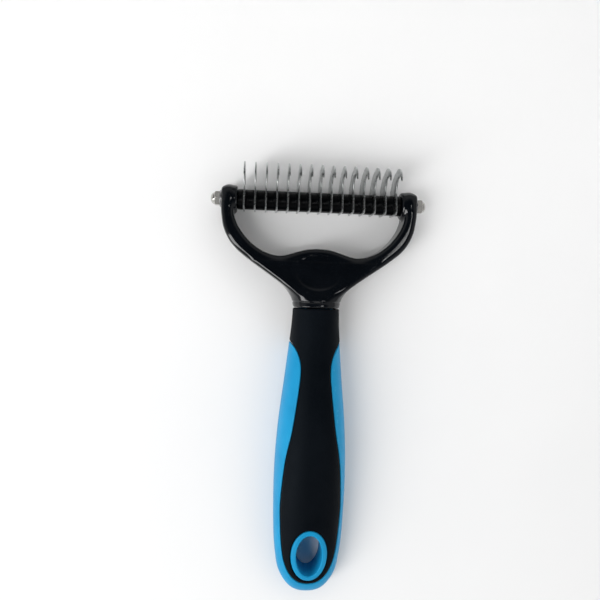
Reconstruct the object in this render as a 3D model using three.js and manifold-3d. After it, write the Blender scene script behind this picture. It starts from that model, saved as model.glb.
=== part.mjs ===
// A dematting comb for dogs: a rake of hooked blades on a cross stud, held in a plastic yoke
// that plugs into a two-part handle. Lengths are millimetres.
//
// The comb lies on its back. X runs across the head, Y along the handle towards the head, and
// Z up, the way the claws face. Stations along Y are counted from the butt of the handle, and
// the whole comb is centred over its footprint at the end.

import * as THREE from 'three';
import { mergeVertices } from 'three/addons/utils/BufferGeometryUtils.js';
import Module from 'manifold-3d';

const wasm = await Module();
wasm.setup();

// Driving dimensions: the head.
const studStation = 151;
const studHeight = 5.8;
const studRadius = 1.5;
const boreRadius = 1.8;
const bladeCount = 15;
const bladePitch = 4.09;
const bladeThickness = 0.55;
const spacerRadius = 3.75;
const stackClearance = 0.05;
const armOuterX = 37.1;
const armInnerX = 32.3;
const armDepth = 11.6;
const armTopRise = 5.2;
const bossInnerX = 31.1;
const bossRadius = 5.2;
const washerRadius = 3.2;
const washerThickness = 0.5;
const nutAcrossFlats = 5;
const nutHexLength = 2;
const nutDomeRadius = 2.2;
const nutDomeHeight = 1.5;
const nutBoreDepth = 2.6;

// Driving dimensions: the neck and the handle.
const neckStation = 111;
const seamGap = 0.6;
const tangHalfWidth = 5;
const tangHalfHeight = 3.6;
const tangDepth = 28;
const tangClearance = 0.3;
const gripThickness = 1.6;
const gripClearance = 0.3;
const sleeveStation = 98;
const holeStation = 17.8;
const holeHalfWidth = 4.9;
const holeHalfLength = 8.35;
const rimWidth = 2.05;
const beyondHandle = 20;

// How finely the round shapes are cut.
const ringSides = 28;
const boreSides = 10;
const spacerSides = 14;

const black = { color: 0x0b0c0e, roughness: 0.22, metalness: 0 };
const rubber = { color: 0x101114, roughness: 0.75, metalness: 0 };
const blue = { color: 0x2aa3dd, roughness: 0.35, metalness: 0 };
const steel = { color: 0xc9cccf, roughness: 0.28, metalness: 1 };
const nickel = { color: 0xd8d6cf, roughness: 0.18, metalness: 1 };

const sides = [['left', -1], ['right', 1]];
const twoDigits = (number) => String(number).padStart(2, '0');

const comb = new THREE.Group();

function addPart(name, geometry, finish, parent = comb) {
  const mesh = new THREE.Mesh(geometry, new THREE.MeshStandardMaterial(finish));
  mesh.name = name;
  parent.add(mesh);
  return mesh;
}

// Solids for cutting and joining.

function toSolid(geometry) {
  const bare = geometry.clone();
  bare.deleteAttribute('normal');
  bare.deleteAttribute('uv');
  const merged = mergeVertices(bare, 1e-5);
  const vertProperties = new Float32Array(merged.attributes.position.array);
  const triVerts = new Uint32Array(merged.index.array);
  return new wasm.Manifold(new wasm.Mesh({ numProp: 3, vertProperties, triVerts }));
}

function toGeometry(solid) {
  const mesh = solid.getMesh();
  const geometry = new THREE.BufferGeometry();
  geometry.setAttribute('position', new THREE.BufferAttribute(new Float32Array(mesh.vertProperties), 3));
  geometry.setIndex(new THREE.BufferAttribute(new Uint32Array(mesh.triVerts), 1));
  geometry.computeVertexNormals();
  return geometry;
}

// A closed skin through rings of equally many points, with a flat cap on each end ring.
function loft(rings) {
  const sides = rings[0].length;
  const points = rings.flat();
  const index = [];
  for (let ring = 0; ring < rings.length - 1; ring += 1) {
    for (let side = 0; side < sides; side += 1) {
      const here = ring * sides + side;
      const next = ring * sides + ((side + 1) % sides);
      index.push(here, here + sides, next, next, here + sides, next + sides);
    }
  }
  const last = (rings.length - 1) * sides;
  for (let side = 1; side < sides - 1; side += 1) {
    index.push(0, side, side + 1);
    index.push(last, last + side + 1, last + side);
  }
  const geometry = new THREE.BufferGeometry().setFromPoints(points);
  geometry.setIndex(index);
  geometry.computeVertexNormals();
  return geometry;
}

// A ring across the handle at one station: a rounded box between an ellipse and a rectangle,
// from its back up to its front, and as wide as it gets at the height called widest.
function sectionRing({ station, halfWidth, back, front, widest, squareness = 2.4 }) {
  const ring = [];
  for (let side = 0; side < ringSides; side += 1) {
    const angle = (side / ringSides) * 2 * Math.PI;
    const across = Math.cos(angle);
    const up = Math.sin(angle);
    const x = halfWidth * Math.sign(across) * Math.abs(across) ** (2 / squareness);
    const reach = up > 0 ? front - widest : back - widest;
    const z = widest + reach * Math.abs(up) ** (2 / squareness);
    ring.push(new THREE.Vector3(x, station, z));
  }
  return ring;
}

function smooth(points) {
  return new THREE.SplineCurve(points.map(([x, y]) => new THREE.Vector2(x, y)));
}

// Reads a smooth profile of [station, value] points at a station.
function profile(points) {
  const curve = smooth(points);
  const samples = curve.getPoints(points.length * 12);
  return (station) => {
    let after = samples.findIndex((sample) => sample.x >= station);
    after = after < 0 ? samples.length - 1 : Math.max(after, 1);
    const a = samples[after - 1];
    const b = samples[after];
    const share = THREE.MathUtils.clamp((station - a.x) / (b.x - a.x), 0, 1);
    return a.y + share * (b.y - a.y);
  };
}

// A prism of a plan outline, standing right through the handle.
function planPrism(shape) {
  const below = 15;
  const depth = 50;
  const geometry = new THREE.ExtrudeGeometry(shape, { depth, bevelEnabled: false, curveSegments: 8 });
  geometry.translate(0, 0, -below);
  return toSolid(geometry);
}

function ellipseShape(station, halfWidth, halfLength) {
  const shape = new THREE.Shape();
  shape.absellipse(0, station, halfWidth, halfLength, 0, 2 * Math.PI);
  return shape;
}

// A cylinder along X about the stud's axis.
function studCylinder(radius, fromX, toX, sides) {
  const geometry = new THREE.CylinderGeometry(radius, radius, toX - fromX, sides);
  geometry.rotateZ(Math.PI / 2);
  geometry.translate((fromX + toX) / 2, studStation, studHeight);
  return geometry;
}

// The handle.

const halfWidthAt = profile([
  [0, 0], [1.5, 4.8], [4.2, 8.2], [9, 11.1], [15, 12.4], [24, 13.3], [40, 13.8], [54, 13.6],
  [68, 12.7], [83, 11.1], [97, 9.7], [104, 9.05], [neckStation, 8.75],
]);
const backAt = profile([
  [0, 2.8], [3, 1], [9, 0.35], [20, 0.1], [45, 0], [75, 0.2], [95, 0.5], [neckStation, 0.5],
]);
const frontAt = profile([
  [0, 3.8], [3, 8.6], [9, 11.8], [20, 14.3], [45, 17.6], [60, 18.3], [75, 17.6], [95, 15.7],
  [neckStation, 15.1],
]);
const widestAt = profile([[0, 3.3], [9, 2.6], [20, 2.2], [50, 2], [90, 3.4], [neckStation, studHeight]]);
const neckMiddle = (backAt(neckStation) + frontAt(neckStation)) / 2;
const handleStations = [
  0.15, 0.8, 2, 3.8, 6.2, 9, 12.5, 17, 23, 30, 38, 46, 54, 62, 70, 78, 86, 94, 102,
  neckStation - seamGap,
];

function handleSolid(inset) {
  const least = 0.4;
  const nearest = inset + 0.15;
  const rings = handleStations
    .map((station) => Math.max(station, nearest + (inset > 0 ? 0.8 : 0)))
    .filter((station, index, all) => index === 0 || station > all[index - 1])
    .map((station) => {
      const widest = widestAt(station);
      const halfWidth = Math.max(halfWidthAt(station) - inset, least);
      const back = Math.min(backAt(station) + inset, widest - least);
      const front = Math.max(frontAt(station) - inset, widest + least);
      return sectionRing({ station, halfWidth, back, front, widest });
    });
  return toSolid(loft(rings));
}

// The plan of the soft grip: a tongue round the hanging hole, a waist, and the whole neck.
function gripPlan(inset) {
  const side = [
    [0, 6], [3.2, 6.6], [6, 8.6], [8.1, 11.8], [9.6, 16.1], [10.5, 22], [11.1, 30], [11.3, 38],
    [10.2, 53], [7.9, 66], [6.2, 79], [5.5, 86.8], [5.9, 91.4], [7.4, 95.2],
    [halfWidthAt(sleeveStation), sleeveStation],
  ];
  const edge = smooth(side).getPoints(30).map((point) => new THREE.Vector2(point.x - inset, point.y));
  edge[0].set(0, edge[0].y + inset);
  edge.push(new THREE.Vector2(beyondHandle, sleeveStation + inset));
  edge.push(new THREE.Vector2(beyondHandle, neckStation));
  const mirrored = edge.slice(1).reverse().map((point) => new THREE.Vector2(-point.x, point.y));
  return new THREE.Shape([...edge, ...mirrored]);
}

// The yoke's tang, or the socket for it where the clearance is more than nothing.
function tangLoft(fromStation, toStation, clearance) {
  const ring = (station) => sectionRing({
    station,
    halfWidth: tangHalfWidth + clearance,
    back: neckMiddle - tangHalfHeight - clearance,
    front: neckMiddle + tangHalfHeight + clearance,
    widest: neckMiddle,
    squareness: 3,
  });
  return loft([ring(fromStation), ring(toStation)]);
}

function buildHandle() {
  const outside = handleSolid(0);
  const hole = planPrism(ellipseShape(holeStation, holeHalfWidth, holeHalfLength));
  const rim = (extra) => planPrism(
    ellipseShape(holeStation, holeHalfWidth + rimWidth + extra, holeHalfLength + rimWidth + extra),
  );
  const socket = toSolid(tangLoft(neckStation - tangDepth - 1, neckStation + 1, tangClearance));
  const underGrip = handleSolid(gripThickness + gripClearance);
  const bare = outside.subtract(planPrism(gripPlan(0)).subtract(rim(0)));
  const core = underGrip.add(bare).subtract(hole).subtract(socket);
  const grip = outside
    .intersect(planPrism(gripPlan(gripClearance)))
    .subtract(handleSolid(gripThickness))
    .subtract(rim(gripClearance));
  addPart('handle_core', toGeometry(core), blue);
  addPart('grip_sleeve', toGeometry(grip), rubber);
}

// The yoke: a plate with two arms, a neck that meets the handle, and a tang inside it.

function yokePlan() {
  const outer = [
    [36.9, 2], [armOuterX, -3], [36.8, -6.5], [36, -10.8], [34, -15.2], [31, -18.8], [26.4, -22.5],
    [21.5, -25.9], [17.1, -28.9], [13.4, -31.6], [10.9, -34.1], [9.5, -36.2], [8.75, -38.8],
  ];
  const inner = [
    [0, -17.8], [4, -18.1], [7.9, -19.1], [12, -20.4], [15.2, -20.8], [19, -20.1],
    [23.5, -17.9], [27.5, -14.4], [30.5, -10.3], [31.9, -7], [armInnerX, -4.6],
  ];
  const place = ([x, rise]) => [x, studStation + rise];
  const armRadius = (armOuterX - armInnerX) / 2;
  const armMiddle = (armOuterX + armInnerX) / 2;
  const crown = [];
  for (let angle = 0; angle <= 180; angle += 30) {
    const turn = THREE.MathUtils.degToRad(angle);
    const topY = studStation + armTopRise - armRadius;
    const x = armMiddle + armRadius * Math.cos(turn);
    crown.push(new THREE.Vector2(x, topY + armRadius * Math.sin(turn)));
  }
  const outerCurve = smooth(outer.map(place)).getPoints(20).reverse();
  const innerCurve = smooth(inner.map(place)).getPoints(20).reverse();
  const half = [...outerCurve, ...crown, ...innerCurve];
  const mirrored = half.slice(0, -1).reverse().map((point) => new THREE.Vector2(-point.x, point.y));
  return new THREE.Shape([...half, ...mirrored]);
}

function buildYoke() {
  const edgeDepth = 3.2;
  const edgeWidth = 1.9;
  const plate = new THREE.ExtrudeGeometry(yokePlan(), {
    depth: armDepth - 2 * edgeDepth,
    bevelThickness: edgeDepth,
    bevelSize: edgeWidth,
    bevelOffset: -edgeWidth,
    bevelSegments: 3,
  });
  plate.translate(0, 0, edgeDepth);

  // The neck starts as the handle's own section and sinks into the plate.
  const neckRings = [
    [0, halfWidthAt(neckStation), backAt(neckStation), frontAt(neckStation)],
    [6, 8.8, 0.5, 14.5],
    [13, 7.6, 0.5, 12.4],
    [19, 5, 0.9, 10.7],
  ];
  const neck = loft(neckRings.map(([past, halfWidth, back, front]) => (
    sectionRing({ station: neckStation + past, halfWidth, back, front, widest: studHeight })
  )));
  const tang = tangLoft(neckStation - tangDepth, neckStation + 4, 0);

  // Seen from the side, the arms end in round bosses about the stud.
  const slab = new THREE.BoxGeometry(4 * armOuterX, studStation, 2 * armDepth);
  slab.translate(0, studStation / 2, studHeight);
  const armEnds = studCylinder(armDepth / 2, -2 * armOuterX, 2 * armOuterX, 24);
  const envelope = toSolid(slab).add(toSolid(armEnds));
  const bore = studCylinder(boreRadius, -2 * armOuterX, 2 * armOuterX, boreSides);
  let yoke = toSolid(plate).intersect(envelope).add(toSolid(neck)).add(toSolid(tang));
  for (const [, hand] of sides) {
    const reach = [hand * bossInnerX, hand * (armInnerX + 1)].sort((a, b) => a - b);
    yoke = yoke.add(toSolid(studCylinder(bossRadius, ...reach, ringSides)));
  }
  addPart('yoke', toGeometry(yoke.subtract(toSolid(bore))), black);
}

// The blades: a square heel round the stud, swept forward into a hook whose claw points back
// towards the handle. The outline is drawn as [forward of the stud, beyond the stud].

function bladeShape() {
  const sweep = [
    [-5.6, 4], [-3.9, 7.6], [-0.4, 10.5], [4, 12.2], [7.8, 12.8], [10.8, 11.8], [12.6, 9.8], [13, 7.4],
  ];
  const throat = [[13, 7.4], [11.4, 9], [9.4, 9.7], [7.2, 9], [5.7, 7], [5.1, 4]];
  const shape = new THREE.Shape();
  shape.moveTo(5.1, 4);
  shape.lineTo(6.3, -3);
  shape.lineTo(5.5, -4);
  shape.lineTo(-4.9, -4);
  shape.lineTo(-5.6, -3.3);
  shape.lineTo(...sweep[0]);
  for (const point of smooth(sweep).getPoints(12).slice(1)) shape.lineTo(point.x, point.y);
  for (const point of smooth(throat).getPoints(8).slice(1, -1)) shape.lineTo(point.x, point.y);
  const bore = new THREE.Path();
  for (let side = 0; side < boreSides; side += 1) {
    const angle = (side / boreSides) * 2 * Math.PI;
    const step = side === 0 ? 'moveTo' : 'lineTo';
    bore[step](boreRadius * Math.cos(angle), boreRadius * Math.sin(angle));
  }
  bore.closePath();
  shape.holes.push(bore);
  return shape;
}

function buildBlades() {
  const geometry = new THREE.ExtrudeGeometry(bladeShape(), { depth: bladeThickness, bevelEnabled: false });
  geometry.rotateY(-Math.PI / 2);
  geometry.translate(bladeThickness / 2, studStation, studHeight);
  for (let number = 0; number < bladeCount; number += 1) {
    const blade = addPart(`blade_${twoDigits(number + 1)}`, geometry, steel);
    blade.position.x = (number - (bladeCount - 1) / 2) * bladePitch;
  }
}

// The plastic sleeves that space the blades, and the two that fill up to the arms.

function sleeveGeometry(radius, length, edge) {
  const half = length / 2;
  const section = [
    [boreRadius, -half], [radius - edge, -half], [radius, edge - half],
    [radius, half - edge], [radius - edge, half], [boreRadius, half], [boreRadius, -half],
  ];
  const geometry = new THREE.LatheGeometry(section.map(([r, x]) => new THREE.Vector2(r, x)), spacerSides);
  geometry.rotateZ(-Math.PI / 2);
  geometry.translate(0, studStation, studHeight);
  return geometry;
}

function buildSpacers() {
  const length = bladePitch - bladeThickness - 2 * stackClearance;
  const geometry = sleeveGeometry(spacerRadius, length, 0.15);
  for (let number = 0; number < bladeCount - 1; number += 1) {
    const spacer = addPart(`spacer_${twoDigits(number + 1)}`, geometry, black);
    spacer.position.x = (number - (bladeCount - 2) / 2) * bladePitch;
  }
}

function buildEndCollars() {
  const stackEnd = ((bladeCount - 1) / 2) * bladePitch + bladeThickness / 2 + stackClearance;
  const armFace = bossInnerX - stackClearance;
  const geometry = sleeveGeometry(spacerRadius + 0.1, armFace - stackEnd, 0.3);
  for (const [side, hand] of sides) {
    addPart(`end_collar_${side}`, geometry, black).position.x = (hand * (armFace + stackEnd)) / 2;
  }
}

// The stud, its washers and its domed nuts.

function buildFasteners() {
  const washerSeat = armOuterX + stackClearance;
  const nutSeat = washerSeat + washerThickness + stackClearance;
  const studEnd = nutSeat + nutBoreDepth - 0.2;
  addPart('cross_stud', studCylinder(studRadius, -studEnd, studEnd, boreSides), steel);

  const washer = toSolid(studCylinder(washerRadius, washerSeat, washerSeat + washerThickness, 18))
    .subtract(toSolid(studCylinder(boreRadius, washerSeat - 1, nutSeat + 1, boreSides)));
  const hex = toSolid(studCylinder(nutAcrossFlats / Math.sqrt(3), nutSeat, nutSeat + nutHexLength, 6));
  const dome = new THREE.SphereGeometry(1, 14, 8);
  dome.scale(nutDomeHeight, nutDomeRadius, nutDomeRadius);
  dome.translate(nutSeat + nutHexLength, studStation, studHeight);
  const nut = hex
    .add(toSolid(dome))
    .subtract(toSolid(studCylinder(boreRadius, nutSeat - 1, nutSeat + nutBoreDepth, boreSides)));

  // The left end is the right end turned half round at the stud's middle.
  for (const [side, hand] of sides) {
    const group = new THREE.Group();
    group.position.set(0, studStation, studHeight);
    group.rotation.y = hand > 0 ? 0 : Math.PI;
    comb.add(group);
    const pieces = [
      addPart(`washer_${side}`, toGeometry(washer), steel, group),
      addPart(`cap_nut_${side}`, toGeometry(nut), nickel, group),
    ];
    for (const piece of pieces) piece.position.set(0, -studStation, -studHeight);
  }
}

buildHandle();
buildYoke();
buildBlades();
buildSpacers();
buildEndCollars();
buildFasteners();

// The comb's origin is under the middle of its footprint.
const reach = new THREE.Box3().setFromObject(comb, true);
comb.position.set(0, -(reach.min.y + reach.max.y) / 2, -reach.min.z);

export default comb;
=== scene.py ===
"""The looks of a dematting comb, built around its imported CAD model.

Shapes are worked out in millimetres as (x, s, z): x across the head, s the station along the
handle from its butt towards the head, and z up from the table that the comb's back lies on.
The moulded parts are distance fields, below zero inside, and skin() meshes a field's zero.
Both halves are alike, so the fields only read how far x is from the middle.
"""

import math

import bmesh
import bpy
import numpy as np
from mathutils import Matrix, Vector


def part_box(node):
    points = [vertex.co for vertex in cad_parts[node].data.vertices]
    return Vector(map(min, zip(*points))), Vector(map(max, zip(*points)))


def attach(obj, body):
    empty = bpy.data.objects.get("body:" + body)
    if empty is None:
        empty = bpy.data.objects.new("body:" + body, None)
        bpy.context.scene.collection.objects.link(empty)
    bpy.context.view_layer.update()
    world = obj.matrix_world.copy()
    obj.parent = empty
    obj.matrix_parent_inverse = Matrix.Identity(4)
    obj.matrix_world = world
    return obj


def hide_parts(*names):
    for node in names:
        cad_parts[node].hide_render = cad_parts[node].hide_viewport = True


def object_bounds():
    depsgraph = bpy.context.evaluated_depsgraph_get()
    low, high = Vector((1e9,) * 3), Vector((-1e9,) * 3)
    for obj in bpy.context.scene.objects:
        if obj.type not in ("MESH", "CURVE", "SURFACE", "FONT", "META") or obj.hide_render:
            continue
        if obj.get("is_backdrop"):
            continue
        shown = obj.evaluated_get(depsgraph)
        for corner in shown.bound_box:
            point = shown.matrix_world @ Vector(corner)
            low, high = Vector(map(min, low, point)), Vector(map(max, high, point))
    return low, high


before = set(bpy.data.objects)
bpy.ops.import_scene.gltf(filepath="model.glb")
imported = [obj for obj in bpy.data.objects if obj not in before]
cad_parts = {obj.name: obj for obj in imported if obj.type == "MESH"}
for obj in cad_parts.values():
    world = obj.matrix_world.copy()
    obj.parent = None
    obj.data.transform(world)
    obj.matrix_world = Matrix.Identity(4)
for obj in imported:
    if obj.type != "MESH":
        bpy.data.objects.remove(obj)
cad_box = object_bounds()

MM = 0.001
TURN = 2 * math.pi

# The photograph's view: above the comb as it lies on its back, a little to the left of its middle.
CAMERA_PLACE = Vector((-0.023325, 0.036817, 0.234893))
CAMERA_TURN = math.radians(-4.291)
CAMERA_TILT = math.radians(-1.286)
CAMERA_ROLL = math.radians(1.967)
CAMERA_LENS = 36.0

# Where things are, from the frame: the stud, the seam between the neck and the yoke, and the arms.
STUD = 151.0
STUD_MIDDLE = (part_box("cross_stud")[0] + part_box("cross_stud")[1]) / 2
BUTT_Y = STUD_MIDDLE.y - STUD * MM
STUD_Z = STUD_MIDDLE.z / MM
SEAM_GAP = 0.6
NECK = (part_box("grip_sleeve")[1].y - BUTT_Y) / MM + SEAM_GAP
ARM_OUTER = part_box("yoke")[1].x / MM
ARM_DEPTH = 2 * STUD_Z
BORE_RADIUS = 1.8


# ---- Curves and distance fields ----


def smooth_line(points, steps=10):
    """A smooth curve through the points, in that many steps from each to the next."""
    ends = np.array([points[0], *points, points[-1]], float)
    t = np.linspace(0, 1, steps, endpoint=False)[:, None]
    spans = []
    for before, a, b, after in zip(ends, ends[1:], ends[2:], ends[3:]):
        leave = (b - before) / 2
        arrive = (after - a) / 2
        cubic = (2 * a - 2 * b + leave + arrive) * t**3
        square = (3 * b - 3 * a - 2 * leave - arrive) * t**2
        spans.append(cubic + square + leave * t + a)
    return np.vstack([*spans, ends[-1:]])


def profile(points):
    """A function that reads a smooth profile of (station, value) points at a station."""
    line = smooth_line(points)
    return lambda s: np.interp(s, line[:, 0], line[:, 1])


def plan_field(outline):
    """The distance outside a plan whose right half runs from the middle line round to it again."""
    start = outline[:-1]
    step = outline[1:] - start
    length = np.maximum((step**2).sum(1), 1e-12)
    batch = 20000

    def distance(x, s):
        x, s = np.broadcast_arrays(np.abs(x), s)
        result = np.empty(x.size)
        for first in range(0, x.size, batch):
            px = x.ravel()[first : first + batch, None]
            ps = s.ravel()[first : first + batch, None]
            from_x = px - start[:, 0]
            from_s = ps - start[:, 1]
            share = np.clip((from_x * step[:, 0] + from_s * step[:, 1]) / length, 0, 1)
            gap = np.hypot(from_x - share * step[:, 0], from_s - share * step[:, 1]).min(1)
            crosses = (start[:, 1] > ps) != (start[:, 1] + step[:, 1] > ps)
            rise = np.where(step[:, 1] == 0, 1, step[:, 1])
            left_of = from_x < from_s * step[:, 0] / rise
            inside = (crosses & left_of).sum(1) % 2 == 1
            result[first : first + batch] = np.where(inside, -gap, gap)
        return result.reshape(x.shape)

    return distance


def both(a, b, radius):
    """Inside both fields, with the edge between them rounded."""
    corner = np.hypot(np.maximum(a + radius, 0), np.maximum(b + radius, 0))
    return np.minimum(np.maximum(a, b), -radius) + corner


def either(a, b, radius):
    """Inside either field, with a fillet between them."""
    return -both(-a, -b, radius)


def constant(value):
    """A profile with the same value at every station."""
    return lambda s: 0 * s + value


def section_field(half_width, back, front, widest, squareness):
    """A long body of rounded sections: four profiles say how wide, low and high it is, and where."""
    narrowest = 0.2
    nudge = 0.05

    def level(x, s, z):
        middle = widest(s)
        wide = np.maximum(half_width(s), narrowest)
        deep = np.where(z > middle, front(s) - middle, middle - back(s))
        u = np.abs(x) / wide
        v = np.abs(z - middle) / deep
        total = np.maximum(u**squareness + v**squareness, 1e-6) ** (1 / squareness)
        return total, u / total, v / total, wide, deep

    def distance(x, s, z):
        total, u, v, wide, deep = level(x, s, z)
        along = (level(x, s + nudge, z)[0] - level(x, s - nudge, z)[0]) / (2 * nudge)
        power = squareness - 1
        slope = np.sqrt((u**power / wide) ** 2 + (v**power / deep) ** 2 + along**2)
        return (total - 1) / slope

    return distance


def oval(x, s, station, half_width, half_length):
    """The distance outside an upright oval of the plan."""
    u = x / half_width
    v = (s - station) / half_length
    total = np.maximum(np.hypot(u, v), 1e-3)
    return (total - 1) * total / np.hypot(u / half_width, v / half_length)


def round_stud(s, z, radius):
    """The distance outside a cylinder about the stud."""
    return np.hypot(s - STUD, z - STUD_Z) - radius


def smooth_step(share):
    """Clipped to run from 0 to 1, and eased at both ends."""
    share = np.clip(share, 0, 1)
    return share**2 * (3 - 2 * share)


def ridge(distance, width):
    """A rounded ridge, 1 high, along the line where the distance is 0."""
    return np.exp(-((distance / width) ** 2))


# ---- Meshes ----


def to_object(name, points, faces, body, nodes, slot):
    """A mesh of (x, s, z) points that rides on a body and stands for CAD nodes."""
    points = np.asarray(points, float) * MM
    points[:, 1] += BUTT_Y
    mesh = bpy.data.meshes.new(name)
    mesh.from_pydata(points.tolist(), [], faces)
    mesh.shade_smooth()
    piece = bpy.data.objects.new(name, mesh)
    bpy.context.collection.objects.link(piece)
    mesh.materials.append(MATERIALS[slot])
    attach(piece, body)
    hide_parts(*nodes)
    return piece


def untangle(values):
    """Fills a grid corner wherever the inside would touch itself only across a square's diagonal."""
    passes = 8
    just_inside = -0.001
    for first, second in ((0, 1), (0, 2), (1, 2)) * passes:
        view = np.moveaxis(values, (first, second), (0, 1))
        a, b, c, d = view[:-1, :-1] < 0, view[1:, :-1] < 0, view[:-1, 1:] < 0, view[1:, 1:] < 0
        view[1:, :-1][a & d & ~b & ~c] = just_inside
        view[:-1, :-1][b & c & ~a & ~d] = just_inside


def neighbour_mean(points, faces):
    """The mean of each point's neighbours along the faces' edges."""
    total = np.zeros_like(points)
    count = np.zeros(len(points))
    for start, end in ((0, 1), (1, 2), (2, 3), (3, 0)):
        for here, there in ((faces[:, start], faces[:, end]), (faces[:, end], faces[:, start])):
            for axis in range(3):
                total[:, axis] += np.bincount(here, points[there, axis], len(points))
            count += np.bincount(here, minlength=len(points))
    return total / count[:, None]


def skin(field, low, high, step):
    """Points and four-sided faces of a closed mesh on the zero of a field.

    Each grid cell that the surface crosses gets one point, at the mean of the crossings on the
    cell's edges, and each grid edge that it crosses gets one face, from the four cells round it.
    The points are then spread evenly and moved back on to the zero.
    """
    axes = [np.arange(a, b + step, step) for a, b in zip(low, high)]
    values = np.empty([len(axis) for axis in axes])
    for layer, x in enumerate(axes[0]):
        values[layer] = field(x, axes[1][:, None], axes[2])
    untangle(values)
    inside = values < 0

    corners = np.stack(np.meshgrid((0, 1), (0, 1), (0, 1), indexing="ij"), -1).reshape(8, 3)
    shape = np.array(values.shape) - 1
    held = sum(
        inside[a : a + shape[0], b : b + shape[1], c : c + shape[2]].astype(int) for a, b, c in corners
    )
    cells = np.argwhere((held > 0) & (held < 8))
    number = np.full(shape, -1)
    number[tuple(cells.T)] = np.arange(len(cells))

    around = values[tuple((cells[:, None, :] + corners).transpose(2, 0, 1))].reshape(-1, 2, 2, 2)
    place = np.zeros((len(cells), 3))
    crossings = np.zeros(len(cells))
    slope = np.zeros((len(cells), 3))
    for axis in range(3):
        here = np.moveaxis(around, axis + 1, 3)[..., 0]
        there = np.moveaxis(around, axis + 1, 3)[..., 1]
        slope[:, axis] = (there - here).mean((1, 2)) / step
        crossed = (here < 0) != (there < 0)
        share = np.where(crossed, here / np.where(crossed, here - there, 1), 0)
        crossings += crossed.sum((1, 2))
        place[:, axis] += share.sum((1, 2))
        others = [other for other in range(3) if other != axis]
        place[:, others[0]] += crossed[:, 1, :].sum(1)
        place[:, others[1]] += crossed[:, :, 1].sum(1)
    points = np.array(low) + (cells + place / crossings[:, None]) * step

    faces = []
    for axis in range(3):
        b = np.eye(3, dtype=int)[(axis + 1) % 3]
        c = np.eye(3, dtype=int)[(axis + 2) % 3]
        here = np.delete(inside, -1, axis)
        edges = np.argwhere(here != np.delete(inside, 0, axis))
        ring = np.stack([number[tuple((edges - d).T)] for d in (b + c, c, 0 * b, b)], 1)
        outward = here[tuple(edges.T)]
        faces += [ring[outward], ring[~outward][:, ::-1]]
    faces = np.vstack(faces)

    flattest = 0.05
    steepness = np.maximum((slope**2).sum(1), flattest)
    for spread in (True, True, False, False):
        if spread:
            points = (points + neighbour_mean(points, faces)) / 2
        move = (field(*points.T) / steepness)[:, None] * slope
        points -= np.clip(move, -step / 2, step / 2)
    return points, faces.tolist()


def lathe(section, sides, twist=None):
    """Points and faces of a closed ring of (x, radius) points turned about the stud."""
    angles = np.arange(sides) / sides * TURN
    points = []
    for x, radius in section:
        reach = radius if twist is None else radius + twist(x, angles)
        rise = STUD_Z + reach * np.sin(angles)
        points.append(np.stack([0 * angles + x, STUD + reach * np.cos(angles), rise], 1))
    count = len(section)
    faces = []
    for ring in range(count):
        for side in range(sides):
            a = ring * sides
            b = (ring + 1) % count * sides
            after = (side + 1) % sides
            faces.append((a + after, b + after, b + side, a + side))
    return np.vstack(points), faces


# ---- The handle ----

NECK_HALF_WIDTH = 8.75
NECK_BACK = 0.5
NECK_FRONT = 15.1

# How wide the handle is, how low and high it reaches, and the level where it is widest.
HALF_WIDTH = profile([
    (0, 0), (1.5, 4.8), (4.2, 8.2), (9, 11.1), (15, 12.4), (24, 13.3), (40, 13.8), (54, 13.6),
    (68, 12.7), (83, 11.1), (97, 9.7), (104, 9.05), (NECK, NECK_HALF_WIDTH),
])
BACK = profile([
    (0, 2.8), (3, 1), (9, 0.35), (20, 0.1), (45, 0), (75, 0.2), (95, NECK_BACK), (NECK, NECK_BACK),
])
FRONT = profile([
    (0, 3.8), (3, 8.6), (9, 11.8), (20, 14.3), (45, 17.6), (60, 18.3), (75, 17.6), (95, 15.7),
    (NECK, NECK_FRONT),
])
WIDEST = profile([(0, 3.3), (9, 2.6), (20, 2.2), (50, 2), (90, 3.4), (NECK, STUD_Z)])
SQUARENESS = 2.4

SLEEVE_START = 98.0
HOLE_STATION = 17.8
HOLE_HALF_WIDTH = 4.9
HOLE_HALF_LENGTH = 8.35
RIM_WIDTH = 2.05
RIM_RISE = 0.15
GRIP_THICKNESS = 1.6
GRIP_RISE = 0.12
PARTING = 0.07
TANG_DEPTH = 28.0
EDGE = 0.4

whole_handle = section_field(HALF_WIDTH, BACK, FRONT, WIDEST, SQUARENESS)
grip_plan = plan_field(np.vstack([
    smooth_line([
        (0, 6), (3.2, 6.6), (6, 8.6), (8.1, 11.8), (9.6, 16.1), (10.5, 22), (11.1, 30), (11.3, 38),
        (10.2, 53), (7.9, 66), (6.2, 79), (5.5, 86.8), (5.9, 91.4), (7.4, 95.2), (9.62, SLEEVE_START),
    ]),
    [(20, SLEEVE_START), (20, NECK + 9), (0, NECK + 9)],
]))


def hole_field(x, s, margin=0):
    """The distance outside the hanging hole, or outside an oval that margin larger."""
    return oval(x, s, HOLE_STATION, HOLE_HALF_WIDTH + margin, HOLE_HALF_LENGTH + margin)


def tang_field(x, s, z, clearance, depth):
    """The yoke's tang inside the neck, down to that depth, or its socket with a clearance."""
    half_width = constant(5 + clearance)
    half_height = 3.6 + clearance
    middle = (NECK_BACK + NECK_FRONT) / 2
    back = constant(middle - half_height)
    front = constant(middle + half_height)
    body = section_field(half_width, back, front, constant(middle), 3)
    start = NECK - depth
    end = NECK + 5
    return both(body(x, s, z), np.abs(s - (start + end) / 2) - (end - start) / 2, 0.5)


def grip_region(x, s):
    """The plan of the soft grip: a tongue round the rim of the hole, a waist, and the neck."""
    return both(grip_plan(x, s), -hole_field(x, s, RIM_WIDTH), 0.3)


def front_share(s, z):
    """0 below the handle's widest line, rising to 1 on its front."""
    return np.clip((z - WIDEST(s)) / 3, 0, 1)


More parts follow.
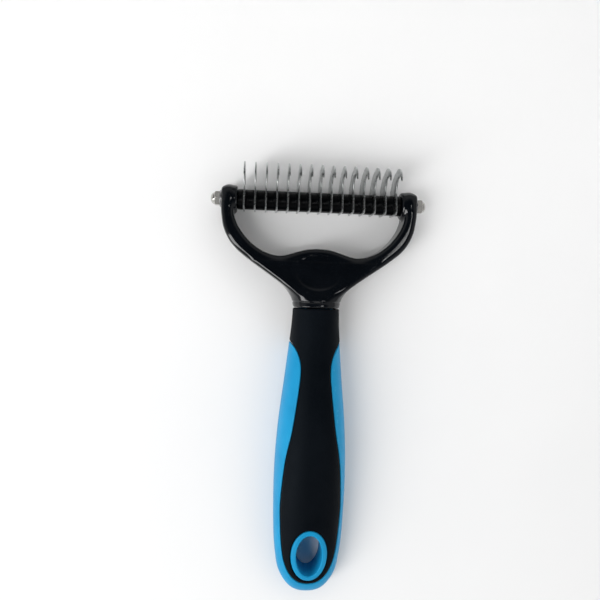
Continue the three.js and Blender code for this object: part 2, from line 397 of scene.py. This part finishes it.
def handle_ends(outside, s):
    """Flattens the very butt and rounds the edge at the neck's seam."""
    butt = 0.15
    neck = NECK - 0.35
    return both(np.maximum(outside, butt - s), s - neck, EDGE)


def core_field(x, s, z):
    on_rim = np.clip(0.6 - hole_field(x, s, RIM_WIDTH), 0, 1)
    outside = whole_handle(x, s, z) - RIM_RISE * on_rim * front_share(s, z)
    shown = both(outside, PARTING - grip_region(x, s), 0.35)
    under_grip = outside + GRIP_THICKNESS + PARTING
    body = handle_ends(either(shown, under_grip, EDGE), s)
    body = both(body, -hole_field(x, s), EDGE)
    return both(body, -tang_field(x, s, z, 0.15, TANG_DEPTH + 1), 0.3)


def grip_field(x, s, z):
    outside = whole_handle(x, s, z)
    proud = outside - GRIP_RISE * front_share(s, z)
    shown = both(proud, grip_region(x, s) + PARTING, 0.45)
    return both(handle_ends(shown, s), -(outside + GRIP_THICKNESS), EDGE)


def build_handle():
    low = (-15.1, -1, -1)
    high = (15, NECK + 1, 20)
    core = skin(core_field, low, high, 0.35)
    grip = skin(grip_field, low, high, 0.32)
    to_object("handle_body", *core, "comb", ["handle_core"], "core_blue")
    to_object("soft_grip", *grip, "comb", ["grip_sleeve"], "grip_black")


# ---- The yoke ----

ARM_INNER = 32.3
ARM_MIDDLE = (ARM_OUTER + ARM_INNER) / 2
ARM_RADIUS = (ARM_OUTER - ARM_INNER) / 2
ARM_TOP = 5.2
NECK_END = -38.8
BADGE_STATION = 124.3
BADGE_HALF_WIDTH = 8.3
BADGE_HALF_LENGTH = 6.5
BOSS_MIDDLE = 33.1
BOSS_HALF_LENGTH = 2.0
BOSS_RADIUS = 5.2

# The right half of the yoke's plan, as (x, past the stud): up the outer side of the neck and the
# arm, over the arm's round tip, and back down its inner side to the hub's crest.
TIP = [
    (ARM_MIDDLE + ARM_RADIUS * math.cos(turn), ARM_TOP - ARM_RADIUS + ARM_RADIUS * math.sin(turn))
    for turn in np.linspace(0, TURN / 2, 19)
]
OUTER = [
    (NECK_HALF_WIDTH, NECK_END), (9.5, -36.2), (10.9, -34.1), (13.4, -31.6), (17.1, -28.9),
    (21.5, -25.9), (26.4, -22.5), (31, -18.8), (34, -15.2), (36, -10.8), (36.8, -6.5),
    (ARM_OUTER, -3), TIP[0],
]
INNER = [
    TIP[-1], (ARM_INNER, -4.6), (31.9, -7), (30.5, -10.3), (27.5, -14.4), (23.5, -17.9),
    (19, -20.1), (15.2, -20.8), (12, -20.4), (7.9, -19.1), (4, -18.1), (0, -17.8),
]
yoke_plan = plan_field(
    np.vstack([[(0, NECK_END)], smooth_line(OUTER), TIP[1:-1], smooth_line(INNER)]) + (0, STUD)
)
crown_height = profile([
    (NECK, NECK_FRONT), (NECK + 4, 14.7), (NECK + 10, 13.4), (NECK + 16, 12.2),
    (NECK + 22, ARM_DEPTH), (STUD + 9, ARM_DEPTH),
])
neck_section = section_field(
    profile([(NECK, NECK_HALF_WIDTH), (NECK + 3, 9.5), (NECK + 5, 10.9), (NECK + 9, 14.5)]),
    constant(NECK_BACK),
    crown_height,
    constant(STUD_Z),
    SQUARENESS,
)


def fork_field(x, s, z):
    """The hub and arms, rising to the neck, with round arm ends when seen from the side."""
    above = z - crown_height(s)
    slab = both(both(yoke_plan(x, s), above, 2.3), -z, 1.4)
    arm_end = np.where(s > STUD, round_stud(s, z, STUD_Z), np.maximum(above, -z))
    return both(slab, arm_end, 1.2)


def collar_groove(s):
    """The depth of the fine groove round the neck, just past the seam."""
    return 0.25 * ridge(s - NECK - 2, 0.28)


def badge_depth(x, s, z):
    """The depth of the shallow blank oval on the front of the hub, with a faint lip round it."""
    outside = oval(x, s, BADGE_STATION, BADGE_HALF_WIDTH, BADGE_HALF_LENGTH)
    dish = 0.15 / (1 + np.exp(outside / 0.2))
    lip = 0.03 * ridge(outside - 0.6, 0.4)
    return np.where(z > STUD_Z, dish - lip, 0)


def yoke_field(x, s, z):
    share = smooth_step((s - NECK - 1) / 8)
    body = share * fork_field(x, s, z) + (1 - share) * neck_section(x, s, z)
    body = both(body, NECK - s, EDGE) + collar_groove(s) + badge_depth(x, s, z)

    along_boss = np.abs(np.abs(x) - BOSS_MIDDLE) - BOSS_HALF_LENGTH
    boss = both(round_stud(s, z, BOSS_RADIUS), along_boss, 0.9)
    body = both(either(body, boss, 1.2), -round_stud(s, z, BORE_RADIUS), 0.25)
    return np.minimum(body, tang_field(x, s, z, 0, TANG_DEPTH))


def build_yoke():
    low = (-ARM_OUTER - 1, NECK - TANG_DEPTH - 1, -1)
    high = (ARM_OUTER + 1, STUD + 7, 17)
    to_object("yoke_moulding", *skin(yoke_field, low, high, 0.3), "comb", ["yoke"], "yoke_black")


# ---- The blade stack ----

BLADES = sorted(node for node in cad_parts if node.startswith("blade_"))
SPACERS = sorted(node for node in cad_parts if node.startswith("spacer_"))
SIDES = ("left", "right")


def blade_curve():
    """The blade's outline and bore, as (above the stud, past the stud)."""
    point = (13, 7.4)
    waist = (5.1, 4)
    sweep = [
        (-5.6, 4), (-3.9, 7.6), (-0.4, 10.5), (4, 12.2), (7.8, 12.8), (10.8, 11.8), (12.6, 9.8), point,
    ]
    throat = [point, (11.4, 9), (9.4, 9.7), (7.2, 9), (5.7, 7), waist]
    heel = [waist, (6.3, -3), (5.5, -4), (-4.9, -4), (-5.6, -3.3)]
    outline = np.vstack([smooth_line(sweep, 8), smooth_line(throat, 6)[1:-1], heel])
    turn = np.linspace(0, TURN, 40, endpoint=False)
    bore = BORE_RADIUS * np.stack([np.cos(turn), np.sin(turn)], 1)
    return outline, bore


def blade_mesh():
    """Points and faces of one blade about x = 0, with its sharp edges ground off."""
    edge = 0.1
    smallest = 0.001
    low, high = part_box(BLADES[0])
    half = (high.x - low.x) / MM / 2
    curve = bpy.data.curves.new("blade_outline", "CURVE")
    curve.dimensions = "2D"
    curve.fill_mode = "BOTH"
    curve.extrude = half - edge
    curve.bevel_depth = edge
    curve.bevel_resolution = 1
    curve.offset = -edge
    for line in blade_curve():
        spline = curve.splines.new("POLY")
        spline.points.add(len(line) - 1)
        spline.use_cyclic_u = True
        for point, (above, past) in zip(spline.points, line):
            point.co = (above, past, 0, 1)
    holder = bpy.data.objects.new("blade_outline", curve)
    mesh = bpy.data.meshes.new_from_object(holder)
    shape = bmesh.new()
    shape.from_mesh(mesh)
    bmesh.ops.remove_doubles(shape, verts=shape.verts, dist=smallest)
    bmesh.ops.dissolve_degenerate(shape, edges=shape.edges, dist=smallest)
    bmesh.ops.recalc_face_normals(shape, faces=shape.faces)
    points = np.array([(-v.co.z, v.co.y + STUD, v.co.x + STUD_Z) for v in shape.verts])
    faces = [[v.index for v in face.verts] for face in shape.faces]
    shape.free()
    bpy.data.objects.remove(holder)
    bpy.data.curves.remove(curve)
    bpy.data.meshes.remove(mesh)
    return points, faces


def sharpen(piece):
    """Shades a flat-sided piece with hard edges."""
    piece.data.set_sharp_from_angle(angle=math.radians(35))


def build_blades():
    points, faces = blade_mesh()
    for node in BLADES:
        low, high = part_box(node)
        here = points + ((low.x + high.x) / 2 / MM, 0, 0)
        sharpen(to_object(f"comb_{node}", here, faces, "comb", [node], "blade_steel"))


def sleeve_section(low, high, radius, edge):
    """Half a section of a sleeve about the stud, rounded outside and bevelled at its bore."""
    bevel = 0.1
    turns = np.linspace(0, TURN / 4, 4)
    corner = [(edge * (1 - math.cos(turn)), edge * (1 - math.sin(turn))) for turn in turns]
    outer = [(low + along, radius - inward) for along, inward in corner]
    outer += [(high - along, radius - inward) for along, inward in reversed(corner)]
    bore = [(high, BORE_RADIUS + bevel), (high - bevel, BORE_RADIUS)]
    bore += [(low + bevel, BORE_RADIUS), (low, BORE_RADIUS + bevel)]
    return outer + bore


def build_sleeves():
    """The spacers, end collars and washers, each as (node, radius, rounded edge, material)."""
    sleeves = [(node, 3.75, 0.18, "spacer_black") for node in SPACERS]
    sleeves += [(f"end_collar_{side}", 3.85, 0.35, "spacer_black") for side in SIDES]
    sleeves += [(f"washer_{side}", 3.2, 0.12, "washer_steel") for side in SIDES]
    for node, radius, edge, slot in sleeves:
        low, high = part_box(node)
        section = sleeve_section(low.x / MM, high.x / MM, radius, edge)
        sharpen(to_object(f"turned_{node}", *lathe(section, 64), "comb", [node], slot))


def build_stud():
    """The stud, with a rolled thread at each end."""
    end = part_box("cross_stud")[1].x / MM
    radius = 1.5
    bevel_radius = 1.1
    thread_radius = 1.42
    thread_depth = 0.1
    thread_length = 9.0
    pitch = 0.5
    rings = 8
    near_axis = 0.01

    screw = [end - 0.2 - ring * pitch / rings for ring in range(int(thread_length / pitch * rings))]
    right = [(end, near_axis), (end, bevel_radius), *((x, thread_radius) for x in screw)]
    right.append((screw[-1] - 0.3, radius))
    section = [(-x, reach) for x, reach in right] + right[::-1]

    def thread(x, angles):
        depth = thread_depth * (abs(x) > end - thread_length)
        return depth * np.sin(TURN * x / pitch + angles)

    stud = lathe(section, 24, thread)
    to_object("threaded_stud", *stud, "comb", ["cross_stud"], "stud_steel")


def nut_field(seat):
    """A domed nut that stands on its washer at seat, with a blind bore for the stud."""
    half_flats = 2.5
    hexagon = 2.0
    bevel_slope = 0.8
    bevel_steepness = 1.28
    dome_radius = 2.2
    dome_height = 1.5
    dome_steepness = 1.7
    bore_depth = 2.6

    def field(x, s, z):
        along = np.abs(x) - seat
        flats = -99.0
        for turn in (0, TURN / 6, TURN / 3):
            reach = (s - STUD) * math.cos(turn) + (z - STUD_Z) * math.sin(turn)
            flats = np.maximum(flats, np.abs(reach) - half_flats)
        radial = round_stud(s, z, 0)
        prism = both(flats, np.abs(along - hexagon / 2) - hexagon / 2, 0.12)
        bevel = radial - half_flats - 0.05 + bevel_slope * (along - hexagon)
        prism = both(prism, bevel / bevel_steepness, 0.1)

        above = np.maximum(along - hexagon, 0)
        dome = np.sqrt((above / dome_height) ** 2 + (radial / dome_radius) ** 2) - 1
        dome = both(dome * dome_steepness, hexagon / 2 - along, 0.1)
        bore = both(radial - BORE_RADIUS, along - bore_depth, 0.2)
        return both(either(prism, dome, 0.15), -bore, 0.1)

    return field


def build_nuts():
    margin = 0.3
    reach = 3.2
    for side in SIDES:
        low, high = (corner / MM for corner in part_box(f"cap_nut_{side}"))
        seat = min(abs(low.x), abs(high.x))
        start = (low.x - margin, STUD - reach, STUD_Z - reach)
        stop = (high.x + margin, STUD + reach, STUD_Z + reach)
        points, faces = skin(nut_field(seat), start, stop, 0.1)
        to_object(f"domed_nut_{side}", points, faces, f"{side}_nut", [f"cap_nut_{side}"], "nut_nickel")


# ---- Materials ----


class Graph:
    """A material's nodes: a Principled shader and the object's own coordinates in metres."""

    def __init__(self, name):
        self.material = bpy.data.materials.new(name)
        self.material.use_nodes = True
        self.nodes = self.material.node_tree.nodes
        self.links = self.material.node_tree.links
        self.shader = self.nodes["Principled BSDF"]
        self.place = self.nodes.new("ShaderNodeTexCoord").outputs["Object"]

    def set(self, socket, value):
        target = self.shader.inputs[socket]
        if hasattr(value, "is_linked"):
            self.links.new(value, target)
        else:
            target.default_value = value

    def noise(self, size, detail=3.0, stretch=(1, 1, 1)):
        """Noise from 0 to 1 with features about that many millimetres across."""
        mapping = self.nodes.new("ShaderNodeMapping")
        mapping.inputs["Scale"].default_value = [1 / (size * MM * share) for share in stretch]
        self.links.new(self.place, mapping.inputs["Vector"])
        noise = self.nodes.new("ShaderNodeTexNoise")
        noise.inputs["Scale"].default_value = 1
        noise.inputs["Detail"].default_value = detail
        self.links.new(mapping.outputs["Vector"], noise.inputs["Vector"])
        return noise.outputs["Fac"]

    def ramp(self, value, low, high, start, end):
        """The value from low to high, stretched to run from start to end."""
        node = self.nodes.new("ShaderNodeMapRange")
        node.inputs["From Min"].default_value = low
        node.inputs["From Max"].default_value = high
        node.inputs["To Min"].default_value = start
        node.inputs["To Max"].default_value = end
        self.links.new(value, node.inputs["Value"])
        return node.outputs["Result"]

    def math(self, operation, a, b):
        node = self.nodes.new("ShaderNodeMath")
        node.operation = operation
        for socket, value in zip(node.inputs, (a, b)):
            if hasattr(value, "is_linked"):
                self.links.new(value, socket)
            else:
                socket.default_value = value
        return node.outputs["Value"]

    def mix(self, share, a, b):
        """The colour a where share is 0 and b where it is 1."""
        node = self.nodes.new("ShaderNodeMix")
        node.data_type = "RGBA"
        self.links.new(share, node.inputs["Factor"])
        colors = [socket for socket in node.inputs if socket.type == "RGBA"]
        for socket, value in zip(colors, (a, b)):
            if hasattr(value, "is_linked"):
                self.links.new(value, socket)
            else:
                socket.default_value = (*value, 1)
        return next(socket for socket in node.outputs if socket.type == "RGBA")

    def edges(self, low=0.54, high=0.62):
        """1 on sharp outer edges, where handling wears them, and 0 elsewhere."""
        geometry = self.nodes.new("ShaderNodeNewGeometry")
        return self.ramp(geometry.outputs["Pointiness"], low, high, 0, 1)

    def scratches(self, size, stretch, sharpness=0.66):
        """1 on sparse hairlines that run the way the noise is stretched."""
        return self.ramp(self.noise(size, 2, stretch), sharpness, sharpness + 0.04, 0, 1)

    def bump(self, height, depth):
        """Relief of that many millimetres."""
        node = self.nodes.new("ShaderNodeBump")
        node.inputs["Distance"].default_value = depth * MM
        self.links.new(height, node.inputs["Height"])
        self.links.new(node.outputs["Normal"], self.shader.inputs["Normal"])


def gloss_plastic(name, dark, pale, roughness, scuff, shine):
    """Polished moulded plastic: faint waviness, hairline scratches and rubbed edges."""
    graph = Graph(name)
    clouds = graph.noise(9)
    across = graph.scratches(1.2, (8, 0.12, 1))
    hairlines = graph.math("MAXIMUM", across, graph.scratches(1.5, (0.14, 7, 1)))
    worn = graph.edges()
    color = graph.mix(graph.ramp(clouds, 0.35, 0.65, 0, 1), dark, pale)
    graph.set("Base Color", graph.mix(graph.math("MULTIPLY", worn, 0.35), color, scuff))
    rough = graph.ramp(graph.noise(3.5), 0.3, 0.7, roughness, roughness + 0.05)
    rough = graph.math("ADD", rough, graph.math("MULTIPLY", hairlines, 0.12))
    graph.set("Roughness", rough)
    graph.set("Specular IOR Level", shine)
    graph.bump(graph.noise(1.1), 0.008)
    return graph.material


def satin_plastic(name, dark, pale, scuff):
    """Satin moulded plastic with a fine spark-eroded grain."""
    graph = Graph(name)
    clouds = graph.noise(14)
    grain = graph.noise(0.28, 4)
    color = graph.mix(graph.ramp(clouds, 0.35, 0.65, 0, 1), dark, pale)
    graph.set("Base Color", graph.mix(graph.math("MULTIPLY", graph.edges(), 0.3), color, scuff))
    graph.set("Roughness", graph.ramp(grain, 0.3, 0.7, 0.34, 0.48))
    graph.set("Specular IOR Level", 0.14)
    graph.bump(grain, 0.018)
    return graph.material


def soft_rubber(name, dark, pale):
    """Soft-touch overmould: a tight leathery grain, with paler patches here and there."""
    graph = Graph(name)
    cells = graph.nodes.new("ShaderNodeTexVoronoi")
    cells.inputs["Scale"].default_value = 1 / (0.45 * MM)
    graph.links.new(graph.place, cells.inputs["Vector"])
    pits = graph.math("ADD", cells.outputs["Distance"], graph.math("MULTIPLY", graph.noise(0.2), 0.5))
    patches = graph.noise(12)
    graph.set("Base Color", graph.mix(graph.ramp(patches, 0.35, 0.7, 0, 1), dark, pale))
    graph.set("Roughness", graph.ramp(patches, 0.3, 0.7, 0.5, 0.66))
    graph.set("Specular IOR Level", 0.08)
    graph.set("Specular Tint", (0.7, 0.85, 1, 1))
    graph.bump(pits, 0.025)
    return graph.material


def metal(name, dark, pale, roughness, stretch, size=0.5, relief=0.004):
    """Bare metal with the drag lines of its grinding or turning."""
    graph = Graph(name)
    lines = graph.noise(size, 4, stretch)
    patches = graph.noise(4)
    color = graph.mix(graph.ramp(patches, 0.3, 0.7, 0, 1), dark, pale)
    graph.set("Base Color", graph.mix(graph.ramp(lines, 0.35, 0.7, 0, 0.35), color, pale))
    graph.set("Metallic", 1.0)
    graph.set("Roughness", graph.ramp(lines, 0.3, 0.7, roughness, roughness + 0.16))
    graph.bump(lines, relief)
    return graph.material


def yoke_black():
    # The faint blue in these blacks is painted reflection: it stands in for bluish reflections on the
    # glossy black plastic.
    dark = (0.0016, 0.0024, 0.0036)
    pale = (0.0028, 0.0038, 0.0055)
    return gloss_plastic("yoke_black", dark, pale, 0.06, (0.015, 0.018, 0.022), 0.4)


def spacer_black():
    # The faint blue in these blacks is painted reflection, as on the yoke.
    dark = (0.0008, 0.0012, 0.0016)
    pale = (0.0016, 0.002, 0.0026)
    return gloss_plastic("spacer_black", dark, pale, 0.2, (0.008, 0.009, 0.01), 0.1)


def core_blue():
    return satin_plastic("core_blue", (0.003, 0.235, 0.47), (0.005, 0.275, 0.53), (0.05, 0.38, 0.63))


def grip_black():
    return soft_rubber("grip_black", (0.0012, 0.0022, 0.0038), (0.0024, 0.0036, 0.0056))


def blade_steel():
    return metal("blade_steel", (0.32, 0.34, 0.34), (0.52, 0.53, 0.53), 0.2, (1, 0.4, 7))


def stud_steel():
    return metal("stud_steel", (0.42, 0.42, 0.43), (0.6, 0.6, 0.61), 0.26, (0.3, 3, 3))


def washer_steel():
    return metal("washer_steel", (0.28, 0.28, 0.29), (0.42, 0.42, 0.43), 0.24, (0.4, 2, 2))


def nut_nickel():
    dark = (0.46, 0.45, 0.43)
    pale = (0.62, 0.61, 0.58)
    return metal("nut_nickel", dark, pale, 0.07, (0.25, 3, 3), 0.7, 0.001)


def build_materials():
    return {
        "yoke_black": yoke_black(),
        "spacer_black": spacer_black(),
        "core_blue": core_blue(),
        "grip_black": grip_black(),
        "blade_steel": blade_steel(),
        "stud_steel": stud_steel(),
        "washer_steel": washer_steel(),
        "nut_nickel": nut_nickel(),
    }


# ---- Camera, lights and floor ----


def build_camera():
    data = bpy.data.cameras.new("camera")
    data.lens = CAMERA_LENS
    data.sensor_width = 36.0
    data.clip_start = 0.01
    camera = bpy.data.objects.new("camera", data)
    turn = Matrix.Rotation(CAMERA_TURN, 4, "Y")
    tilt = Matrix.Rotation(CAMERA_TILT, 4, "X")
    roll = Matrix.Rotation(CAMERA_ROLL, 4, "Z")
    camera.matrix_world = Matrix.Translation(CAMERA_PLACE) @ turn @ tilt @ roll
    bpy.context.collection.objects.link(camera)
    bpy.context.scene.camera = camera


def area_light(name, place, target, size, power, spread=180):
    """A soft box, with a grid that narrows its light to a spread of that many degrees."""
    data = bpy.data.lights.new(name, "AREA")
    data.spread = math.radians(spread)
    data.shape = "RECTANGLE"
    data.size = size[0]
    data.size_y = size[1]
    data.energy = power
    lamp = bpy.data.objects.new(name, data)
    lamp.location = place
    lamp.rotation_euler = (Vector(target) - Vector(place)).to_track_quat("-Z", "Y").to_euler()
    bpy.context.collection.objects.link(lamp)


def build_world():
    """A white room with a dark ceiling, dimmer in reflections, so that black plastic stays black."""
    walls = 1.29
    ceiling = 0.04
    in_reflections = 0.32
    world = bpy.data.worlds.new("studio")
    world.use_nodes = True
    nodes = world.node_tree.nodes
    links = world.node_tree.links
    direction = nodes.new("ShaderNodeTexCoord").outputs["Generated"]
    split = nodes.new("ShaderNodeSeparateXYZ")
    links.new(direction, split.inputs["Vector"])
    fade = nodes.new("ShaderNodeMapRange")
    fade.interpolation_type = "SMOOTHSTEP"
    fade.inputs["From Min"].default_value = 0.6
    fade.inputs["From Max"].default_value = 0.9
    fade.inputs["To Min"].default_value = walls
    fade.inputs["To Max"].default_value = ceiling
    links.new(split.outputs["Z"], fade.inputs["Value"])
    glossy = nodes.new("ShaderNodeMapRange")
    glossy.inputs["To Min"].default_value = 1.0
    glossy.inputs["To Max"].default_value = in_reflections
    links.new(nodes.new("ShaderNodeLightPath").outputs["Is Glossy Ray"], glossy.inputs["Value"])
    strength = nodes.new("ShaderNodeMath")
    strength.operation = "MULTIPLY"
    links.new(fade.outputs["Result"], strength.inputs[0])
    links.new(glossy.outputs["Result"], strength.inputs[1])
    links.new(strength.outputs["Value"], nodes["Background"].inputs["Strength"])
    nodes["Background"].inputs["Color"].default_value = (1, 1, 1, 1)
    bpy.context.scene.world = world


def build_stage():
    """The paper floor, the room and the lights."""
    half = 3
    mesh = bpy.data.meshes.new("floor")
    corners = [(-half, -half, 0), (half, -half, 0), (half, half, 0), (-half, half, 0)]
    mesh.from_pydata(corners, [], [(0, 1, 2, 3)])
    floor = bpy.data.objects.new("floor", mesh)
    bpy.context.collection.objects.link(floor)
    paper = Graph("floor_paper")
    paper.set("Base Color", paper.mix(paper.noise(60), (0.86, 0.86, 0.86), (0.9, 0.9, 0.9)))
    paper.set("Roughness", 0.9)
    mesh.materials.append(paper.material)
    floor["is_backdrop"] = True
    build_world()
    area_light("key", (-0.62, -0.3, 0.6), (0, 0, 0), (0.25, 0.8), 4.8)
    area_light("strip", (0.08, -0.12, 0.85), (0, 0.2, 0), (0.45, 0.07), 0.036, 32)
    area_light("window", (0.3, 0.12, 0.95), (0.03, 0.05, 0), (0.11, 0.22), 0.0023, 12)
    bpy.context.scene.view_settings.view_transform = "Standard"


MATERIALS = build_materials()
build_camera()
build_handle()
build_yoke()
build_blades()
build_sleeves()
build_stud()
build_nuts()
build_stage()

boxes = {"cad": cad_box, "visual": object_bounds()}
{name: [list(corner) for corner in box] for name, box in boxes.items()}
